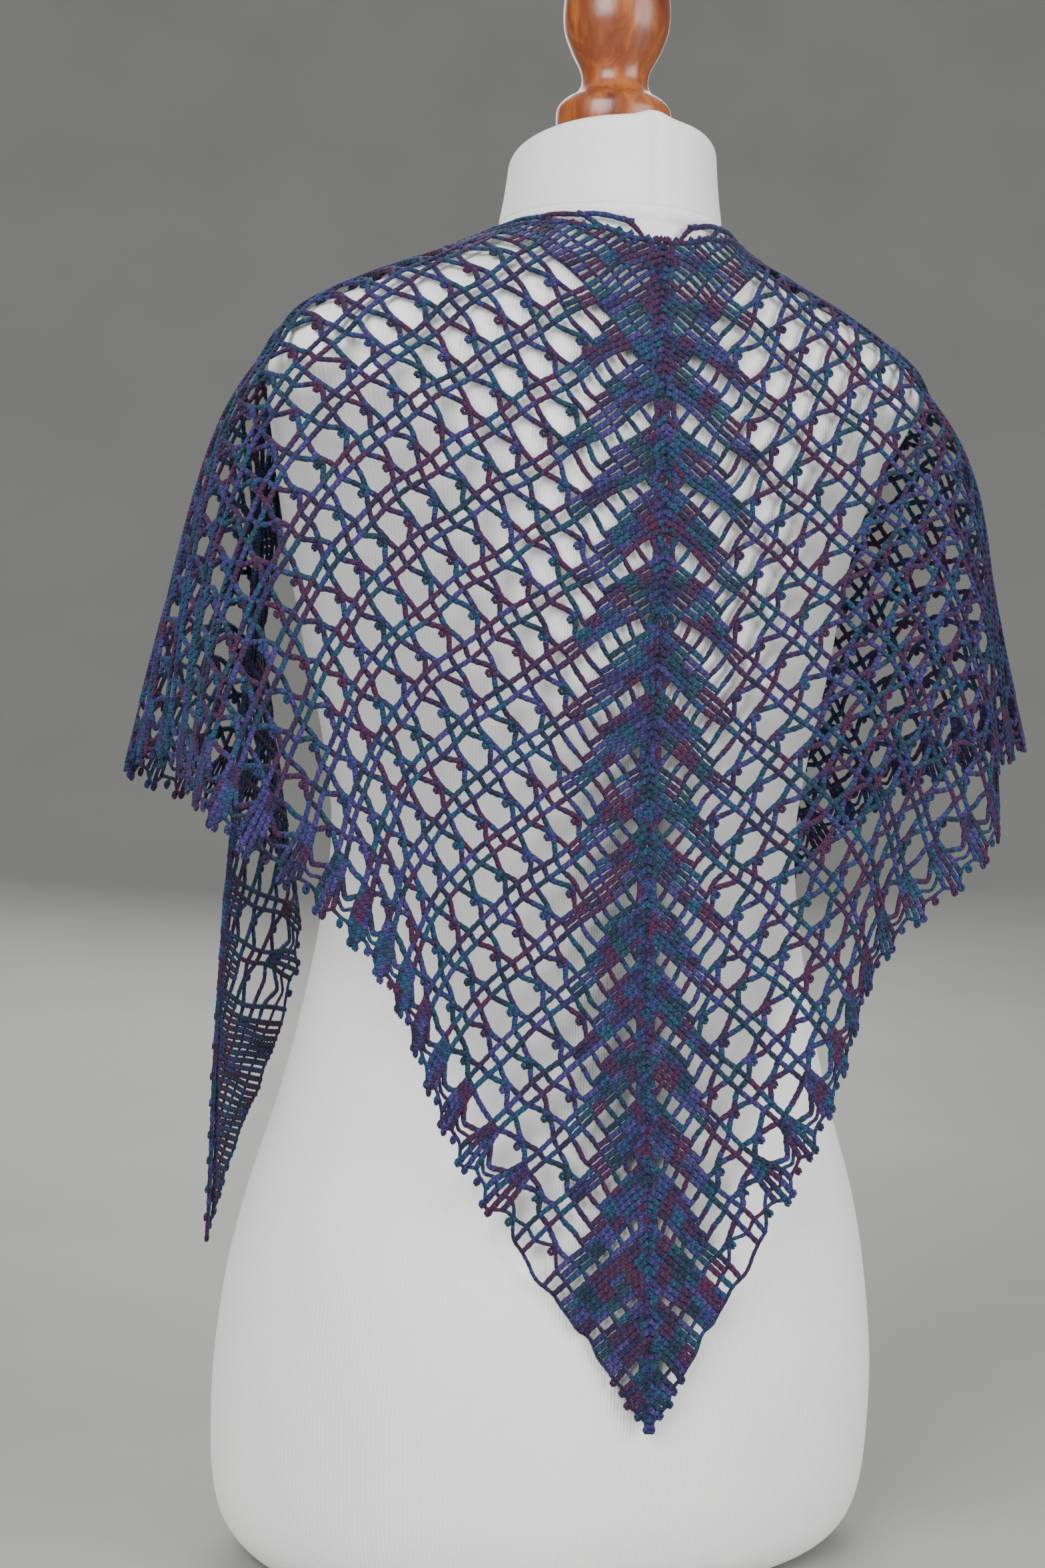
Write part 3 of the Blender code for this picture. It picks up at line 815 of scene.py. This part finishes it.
def yarn_material():
    """Plied wool in hand-dyed navy, indigo, teal and plum."""
    made, tree, shader = node_material("hand_dyed_yarn")
    dye = add_node(tree, "UVMap", uv_map="dye").outputs[0]
    split = add_node(tree, "SeparateXYZ", {0: dye})
    along = maths(tree, "MULTIPLY", split.outputs[0], 62.0)
    across = maths(tree, "MULTIPLY", split.outputs[1], 5.37)
    place = add_node(tree, "CombineXYZ", {0: along, 1: across, 2: 0.0}).outputs[0]
    pool = add_node(tree, "TexNoise", {"Vector": place, "Scale": 1.0, "Detail": 2.0,
                                       "Roughness": 0.55}).outputs[0]
    dyed = ramp(tree, pool, YARN_DYES, smooth=False)
    yarn = add_node(tree, "UVMap", uv_map="yarn").outputs[0]
    yarn_split = add_node(tree, "SeparateXYZ", {0: yarn})
    u, v = yarn_split.outputs[0], yarn_split.outputs[1]
    # a braid of chain stitches, mirrored about the middle of the outer face
    folded = maths(tree, "ABSOLUTE", maths(tree, "SUBTRACT", maths(tree, "MULTIPLY", v, 2.0), 1.0))
    braid_at = maths(tree, "MULTIPLY_ADD", u, 2 * PI, maths(tree, "MULTIPLY", folded, 7.0))
    braid = maths(tree, "SINE", braid_at)
    ply_at = maths(tree, "MULTIPLY_ADD", u, 2 * PI * 3.0, maths(tree, "MULTIPLY", v, 4 * PI))
    ply = maths(tree, "SINE", ply_at)
    spot = add_node(tree, "TexCoord").outputs["Object"]
    fuzz = add_node(tree, "TexNoise", {"Vector": spot, "Scale": 1900.0, "Detail": 3.0}).outputs[0]
    # painted highlight and shade: the colour is lightened on the braid and ply ridges and darkened
    # in their valleys, times random fuzz tone
    painted_shade_and_tone = maths(tree, "MULTIPLY_ADD", braid, 0.25, maths(tree, "MULTIPLY_ADD", ply, 0.14, 0.95))
    painted_shade_and_tone = maths(tree, "MULTIPLY", painted_shade_and_tone, maths(tree, "MULTIPLY_ADD", fuzz, 0.9, 0.55))
    painted_shade_and_tone_rgb = add_node(tree, "CombineXYZ", {0: painted_shade_and_tone, 1: painted_shade_and_tone, 2: painted_shade_and_tone}).outputs[0]
    colour = mixed(tree, "MULTIPLY", 1.0, dyed, painted_shade_and_tone_rgb)
    tree.links.new(colour, shader.inputs["Base Color"])
    shader.inputs["Roughness"].default_value = 0.62
    shader.inputs["Sheen Weight"].default_value = 0.12
    shader.inputs["Sheen Roughness"].default_value = 0.45
    shader.inputs["Sheen Tint"].default_value = (0.55, 0.62, 1.0, 1.0)
    shader.inputs["Specular IOR Level"].default_value = 0.28
    bump(tree, shader, ((braid, 0.00040), (ply, 0.00014), (fuzz, 0.00030)))
    return made


def jersey_material():
    """White cotton jersey: fine upright rib with painted shade in its furrows, faint slubs and
    soft cloudy tone.
    """
    made, tree, shader = node_material("form_jersey")
    spot = add_node(tree, "TexCoord").outputs["Object"]
    split = add_node(tree, "SeparateXYZ", {0: spot})
    x, y, z = split.outputs
    turn = maths(tree, "ARCTAN2", x, y)
    wale = maths(tree, "SINE", maths(tree, "MULTIPLY", turn, 460.0))
    course = maths(tree, "SINE", maths(tree, "MULTIPLY", z, 2 * PI / 0.0011))
    knit = maths(tree, "MULTIPLY_ADD", course, 0.3, wale)
    cloud = add_node(tree, "TexNoise", {"Vector": spot, "Scale": 9.0, "Detail": 4.0}).outputs[0]
    slub = add_node(tree, "TexNoise", {"Vector": spot, "Scale": 700.0, "Detail": 2.0}).outputs[0]
    base = ramp(tree, cloud, ((0.25, (0.76, 0.765, 0.76)), (0.75, (0.84, 0.84, 0.83))))
    # painted shade: the rib's furrows are darkened in the colour, with random slub tone
    painted_shade_and_tone = maths(tree, "MULTIPLY_ADD", knit, 0.018, maths(tree, "MULTIPLY_ADD", slub, 0.06, 0.96))
    painted_shade_and_tone_rgb = add_node(tree, "CombineXYZ", {0: painted_shade_and_tone, 1: painted_shade_and_tone, 2: painted_shade_and_tone}).outputs[0]
    tree.links.new(mixed(tree, "MULTIPLY", 1.0, base, painted_shade_and_tone_rgb), shader.inputs["Base Color"])
    shader.inputs["Roughness"].default_value = 0.88
    shader.inputs["Sheen Weight"].default_value = 0.25
    shader.inputs["Specular IOR Level"].default_value = 0.25
    bump(tree, shader, ((knit, 0.00006), (slub, 0.00012)))
    return made


def wood_material():
    """Satin varnished reddish hardwood with figure running up the turning."""
    made, tree, shader = node_material("turned_wood")
    spot = add_node(tree, "TexCoord").outputs["Object"]
    stretched = add_node(tree, "Mapping", {"Vector": spot, "Scale": (1.0, 1.0, 0.22)}).outputs[0]
    warp = add_node(tree, "TexNoise", {"Vector": stretched, "Scale": 26.0, "Detail": 3.0})
    bent = mixed(tree, "LINEAR_LIGHT", 0.05, stretched, warp.outputs["Color"])
    grain = add_node(tree, "TexNoise", {"Vector": bent, "Scale": 150.0, "Detail": 6.0,
                                        "Roughness": 0.6}).outputs[0]
    figure = add_node(tree, "TexNoise", {"Vector": bent, "Scale": 34.0, "Detail": 4.0}).outputs[0]
    blend = maths(tree, "MULTIPLY_ADD", figure, 0.62, maths(tree, "MULTIPLY", grain, 0.38))
    colour = ramp(tree, blend, ((0.30, (0.09, 0.016, 0.004)), (0.45, (0.20, 0.045, 0.009)),
                                (0.56, (0.32, 0.090, 0.020)), (0.70, (0.42, 0.150, 0.04))))
    tree.links.new(colour, shader.inputs["Base Color"])
    shader.inputs["Roughness"].default_value = 0.38
    shader.inputs["Coat Weight"].default_value = 0.35
    shader.inputs["Coat Roughness"].default_value = 0.22
    bump(tree, shader, ((grain, 0.00015),))
    return made


def floor_material():
    made, tree, shader = node_material("pale_floor")
    spot = add_node(tree, "TexCoord").outputs["Object"]
    cloud = add_node(tree, "TexNoise", {"Vector": spot, "Scale": 3.0, "Detail": 3.0}).outputs[0]
    colour = ramp(tree, cloud, ((0.3, (0.29, 0.288, 0.28)), (0.7, (0.31, 0.308, 0.30))))
    tree.links.new(colour, shader.inputs["Base Color"])
    shader.inputs["Roughness"].default_value = 0.7
    return made


def grid_mesh(name, rings, finish):
    """A smooth skin through rings of points, lowest first."""
    bm = bmesh.new()
    loops = [[bm.verts.new(point) for point in ring] for ring in rings]
    count = len(rings[0])
    for low, high in zip(loops, loops[1:]):
        for i in range(count):
            j = (i + 1) % count
            bm.faces.new((low[i], low[j], high[j], high[i]))
    bm.faces.new(list(reversed(loops[0])))
    bm.faces.new(loops[-1])
    bmesh.ops.recalc_face_normals(bm, faces=bm.faces)
    mesh = bpy.data.meshes.new(name)
    bm.to_mesh(mesh)
    bm.free()
    mesh.shade_smooth()
    mesh.set_sharp_from_angle(angle=math.radians(50))
    mesh.materials.append(finish)
    made = bpy.data.objects.new(name, mesh)
    bpy.context.scene.collection.objects.link(made)
    return made


def spline_rows(rows, times):
    """Rows of values with smooth rows added between them."""
    rows = np.asarray(rows, float)
    padded = np.concatenate([rows[:1], rows, rows[-1:]])
    run = []
    for a, b, c, d in zip(padded, padded[1:], padded[2:], padded[3:]):
        for t in np.arange(times) / times:
            run.append(0.5 * (2 * b + (c - a) * t + (2 * a - 5 * b + 4 * c - d) * t ** 2
                              + (3 * b - a - 3 * c + d) * t ** 3))
    run.append(rows[-1])
    return np.array(run)


def node_rings(name):
    """The level rings of a lofted CAD node, lowest first, each in order round its middle."""
    points = np.array([v.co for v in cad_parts[name].data.vertices])
    heights = np.unique(np.round(points[:, 2], 4))
    rings = []
    for height in heights:
        ring = np.unique(np.round(points[np.abs(points[:, 2] - height) < 1e-4], 6), axis=0)
        centre = ring.mean(axis=0)
        turn = np.arctan2(ring[:, 0] - centre[0], ring[:, 1] - centre[1])
        rings.append(ring[np.argsort(turn)])
    return rings


def even_ring(ring, count):
    """A ring resampled smoothly at even turns about its centre."""
    closed = np.concatenate([ring[-1:], ring, ring[:2]])
    run = []
    times = 8
    for a, b, c, d in zip(closed, closed[1:], closed[2:], closed[3:]):
        for t in np.arange(times) / times:
            run.append(0.5 * (2 * b + (c - a) * t + (2 * a - 5 * b + 4 * c - d) * t ** 2
                              + (3 * b - a - 3 * c + d) * t ** 3))
    run = np.array(run)
    centre = ring.mean(axis=0)
    turn = np.arctan2(run[:, 0] - centre[0], run[:, 1] - centre[1])
    order = np.argsort(turn)
    wanted = -PI + 2 * PI * (np.arange(count) + 0.5) / count
    turns, places = turn[order], run[order]
    turns = np.concatenate([turns - 2 * PI, turns, turns + 2 * PI])
    places = np.concatenate([places] * 3)
    return np.stack([np.interp(wanted, turns, places[:, k]) for k in range(3)], 1)


FORM_SIDES = 160


def torso_piece(finish):
    rings = [even_ring(ring, FORM_SIDES) for ring in node_rings("torso")]
    rings = spline_rows(rings, 5)
    piece = grid_mesh("torso_cover", rings, finish)
    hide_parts("torso")
    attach(piece, "root")
    return piece


NECK_Y = 0.034
NeckRing = namedtuple("NeckRing", "z half_width half_depth tilt")
NECK_CAP = tuple(map(NeckRing._make, (
    (0.6793, 0.0560, 0.0576, 0.00),
    (0.6812, 0.0575, 0.0590, 0.01),
    (0.6840, 0.0578, 0.0593, 0.02),
    (0.6860, 0.0563, 0.0578, 0.02),
    (0.6878, 0.0566, 0.0581, 0.03),
    (0.7000, 0.0547, 0.0563, 0.08),
    (0.7120, 0.0533, 0.0551, 0.15),
    (0.7180, 0.0527, 0.0545, 0.18),
    (0.7212, 0.0514, 0.0533, 0.18),
    (0.7232, 0.0492, 0.0512, 0.18),
    (0.7245, 0.0455, 0.0475, 0.18),
    (0.7247, 0.0380, 0.0400, 0.18),
)))
SEAM_PINCH = 0.0010
SEAM_PEAK = 0.0030


def neck_piece(finish):
    rows = spline_rows(NECK_CAP, 5)
    turns = 2 * PI * np.arange(FORM_SIDES) / FORM_SIDES
    rings = []
    for z, half_width, half_depth, tilt in rows:
        x, y = half_width * np.sin(turns), half_depth * np.cos(turns)
        offset = (turns + PI) % (2 * PI) - PI
        seam = np.exp(-(offset / 0.045) ** 2)
        gathered = np.exp(-(offset / 0.16) ** 2) * ease(0.712, 0.7235, z)
        shrink = 1 - SEAM_PINCH / half_depth * seam
        rise = z + tilt * y + SEAM_PEAK * gathered
        rings.append(np.stack([x * shrink, NECK_Y + y * shrink, rise], 1))
    piece = grid_mesh("neck_cover", rings, finish)
    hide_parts("neck_cap")
    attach(piece, "root")
    return piece


def knob_piece(finish):
    """The knob's profile, read from its CAD node and turned smoothly."""
    points = np.array([v.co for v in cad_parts["knob"].data.vertices])
    radius = np.hypot(points[:, 0], points[:, 1] - NECK_Y)
    heights = np.unique(np.round(points[:, 2], 5))
    profile = [(z, radius[np.abs(points[:, 2] - z) < 2e-5].max()) for z in heights]
    profile = [row for row in profile if row[1] > 1e-4]
    flange = next(i for i, row in enumerate(profile) if row[1] > 0.02)
    peg, turned = profile[:flange], spline_rows(profile[flange:], 5)
    turns = 2 * PI * np.arange(96) / 96
    rings = []
    rows = [*peg, (turned[0][0], peg[0][1]), *turned]
    for z, r in rows:
        r = max(r, 0.0004)
        rings.append(np.stack([r * np.sin(turns), NECK_Y + r * np.cos(turns),
                               np.full_like(turns, z)], 1))
    piece = grid_mesh("turned_knob", rings, finish)
    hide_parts("knob")
    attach(piece, "root")
    return piece


# --------------------------------------------------------------------------------------
# Floor, lights and camera
# --------------------------------------------------------------------------------------
CAMERA_TURN = math.radians(22.78)
CAMERA_DISTANCE = 1.294
CAMERA_HEIGHT = 0.434
CAMERA_YAW = math.radians(-1.00)
CAMERA_PITCH = math.radians(-1.53)
CAMERA_ROLL = math.radians(1.91)
CAMERA_LENS = 56.27


def make_camera():
    data = bpy.data.cameras.new("camera")
    data.lens = CAMERA_LENS
    data.sensor_width = 36.0
    camera = bpy.data.objects.new("camera", data)
    bpy.context.scene.collection.objects.link(camera)
    heading = CAMERA_TURN + CAMERA_YAW
    level = math.cos(CAMERA_PITCH)
    forward = Vector((-math.sin(heading) * level, -math.cos(heading) * level,
                      math.sin(CAMERA_PITCH)))
    right = forward.cross(Vector((0, 0, 1))).normalized()
    up = right.cross(forward)
    rolled_right = right * math.cos(CAMERA_ROLL) + up * math.sin(CAMERA_ROLL)
    rolled_up = up * math.cos(CAMERA_ROLL) - right * math.sin(CAMERA_ROLL)
    turn = Matrix((rolled_right, rolled_up, -forward)).transposed().to_4x4()
    place = Vector((CAMERA_DISTANCE * math.sin(CAMERA_TURN),
                    CAMERA_DISTANCE * math.cos(CAMERA_TURN), CAMERA_HEIGHT))
    camera.matrix_world = Matrix.Translation(place) @ turn
    bpy.context.scene.camera = camera


def area_light(name, place, size, power, target=(0, 0, 0.42)):
    data = bpy.data.lights.new(name, "AREA")
    data.shape = "RECTANGLE"
    data.size, data.size_y = size
    data.energy = power
    light = bpy.data.objects.new(name, data)
    bpy.context.scene.collection.objects.link(light)
    light.location = place
    light.rotation_euler = (Vector(target) - Vector(place)).to_track_quat("-Z", "Y").to_euler()


def make_stage():
    bend = np.linspace(0, PI / 2, 24)
    profile = [(0.01, 0.0), (1.2, 0.0), *zip(1.6 + 3.4 * np.sin(bend), 3.4 - 3.4 * np.cos(bend)),
               (5.0, 4.5)]
    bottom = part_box("torso")[0].z - 0.0002
    around = 2 * PI * np.arange(96) / 96
    points = [(r * math.cos(t), r * math.sin(t), z + bottom) for r, z in profile for t in around]
    faces = [(i * 96 + j, i * 96 + (j + 1) % 96, (i + 1) * 96 + (j + 1) % 96, (i + 1) * 96 + j)
             for i in range(len(profile) - 1) for j in range(96)]
    faces.append(tuple(range(96)))
    mesh = bpy.data.meshes.new("floor")
    mesh.from_pydata(points, [], faces)
    mesh.shade_smooth()
    mesh.materials.append(floor_material())
    floor = bpy.data.objects.new("floor", mesh)
    bpy.context.scene.collection.objects.link(floor)
    world = bpy.data.worlds.new("studio")
    world.use_nodes = True
    world.node_tree.nodes["Background"].inputs[0].default_value = (0.74, 0.745, 0.75, 1)
    world.node_tree.nodes["Background"].inputs[1].default_value = 0.75
    bpy.context.scene.world = world
    area_light("key", (1.7, 1.5, 1.5), (1.5, 1.5), 92)
    area_light("fill", (-1.3, 1.9, 0.9), (1.5, 1.5), 56)
    area_light("front", (-0.6, -2.0, 1.3), (1.6, 1.6), 34)


make_camera()
make_stage()
jersey = jersey_material()
torso_piece(jersey)
neck_piece(jersey)
knob_piece(wood_material())
lace_pieces(form_surface(), yarn_material())
